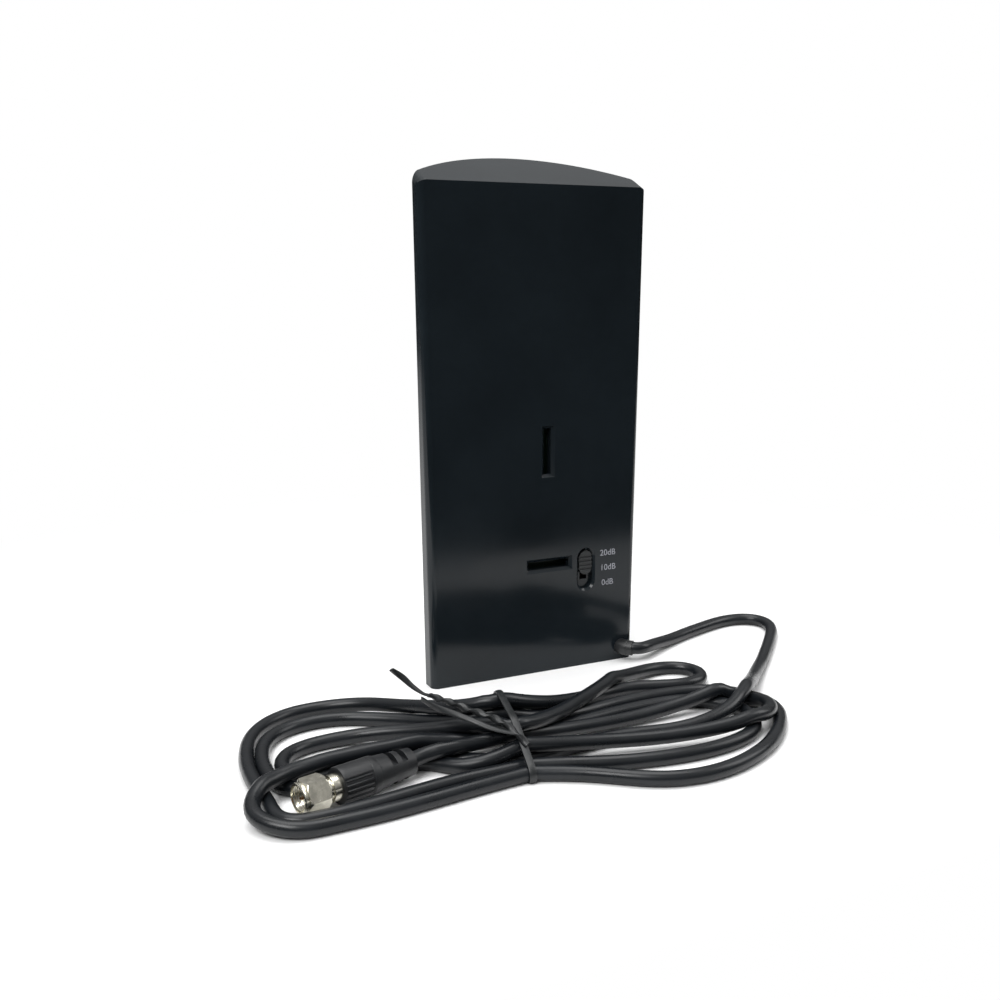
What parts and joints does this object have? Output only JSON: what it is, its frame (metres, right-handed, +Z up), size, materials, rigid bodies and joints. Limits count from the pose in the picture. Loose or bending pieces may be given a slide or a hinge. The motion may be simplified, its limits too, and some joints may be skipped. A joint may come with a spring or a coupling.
{
  "type": "indoor television antenna",
  "caption": "Thin D-section antenna panel that stands on its base, with stand slots and a gain switch in its flat rear face and a coaxial lead tied in a hank.",
  "frame": {"origin": "centre of the panel's base, on the surface it stands on", "axes": "+X along the panel towards the lead's exit, -Y out of the flat rear face, +Y out of the curved front, +Z up"},
  "size_m": [0.2811, 0.1486, 0.22],
  "materials": {
    "gloss_black_housing": "high-gloss moulded polystyrene",
    "gloss_black_cover": "gloss moulded polystyrene, slightly softer than the front",
    "circuit_board": "solder mask over glass laminate",
    "plated_copper": "tinned copper foil",
    "ferrite": "sintered ferrite",
    "enamelled_wire": "enamelled copper",
    "tinned_steel": "tin-plated sheet",
    "capacitor_sleeve": "shrink sleeve",
    "chip_body": "moulded epoxy",
    "phenolic_base": "phenolic laminate",
    "satin_black_knob": "satin moulded",
    "zinc_screw": "zinc-plated steel",
    "black_relief": "soft moulded",
    "foam_core": "foamed polyethylene",
    "copper_braid": "bare copper strands, twisted",
    "black_jacket": "satin extruded jacket",
    "black_tie": "satin ribbon over a wire",
    "black_boot": "satin moulded",
    "nickel_plate": "warm nickel plating",
    "copper_pin": "copper-clad wire"
  },
  "bodies": {
    "antenna": {"front_shell": "gloss_black_housing", "rear_cover": "gloss_black_cover", "radiator_board": "circuit_board", "upper_radiator": "plated_copper", "lower_radiator": "plated_copper", "balun_core": "ferrite", "balun_wires": "enamelled_wire", "amp_board": "circuit_board", "shield_can": "tinned_steel", "filter_caps": "capacitor_sleeve", "chip_parts": "chip_body", "switch_frame": "tinned_steel", "switch_base": "phenolic_base", "switch_pins": "tinned_steel", "board_screws": "zinc_screw", "cable_grommet": "black_relief", "lead_core": "foam_core", "lead_braid": "copper_braid", "lead_cable": "black_jacket", "cable_hank": "black_jacket", "twist_tie": "black_tie", "plug_tail": "black_jacket", "plug_boot": "black_boot", "plug_collar": "black_boot", "plug_ferrule": "nickel_plate", "plug_insulator": "foam_core", "plug_pin": "copper_pin"},
    "gain_slider": {"switch_knob": "satin_black_knob", "switch_wiper": "phenolic_base"},
    "nut": {"coupling_nut": "nickel_plate"}
  },
  "joints": [
    {"name": "gain_switch", "type": "slide", "parent": "antenna", "child": "gain_slider", "axis": [0, 0, 1], "range_m": [-0.006, 0]},
    {"name": "nut_spin", "type": "hinge", "parent": "antenna", "child": "nut", "pos_m": [-0.1303, -0.0988, 0.0064], "axis": [0.9659, 0.2588, 0], "continuous": true}
  ]
}
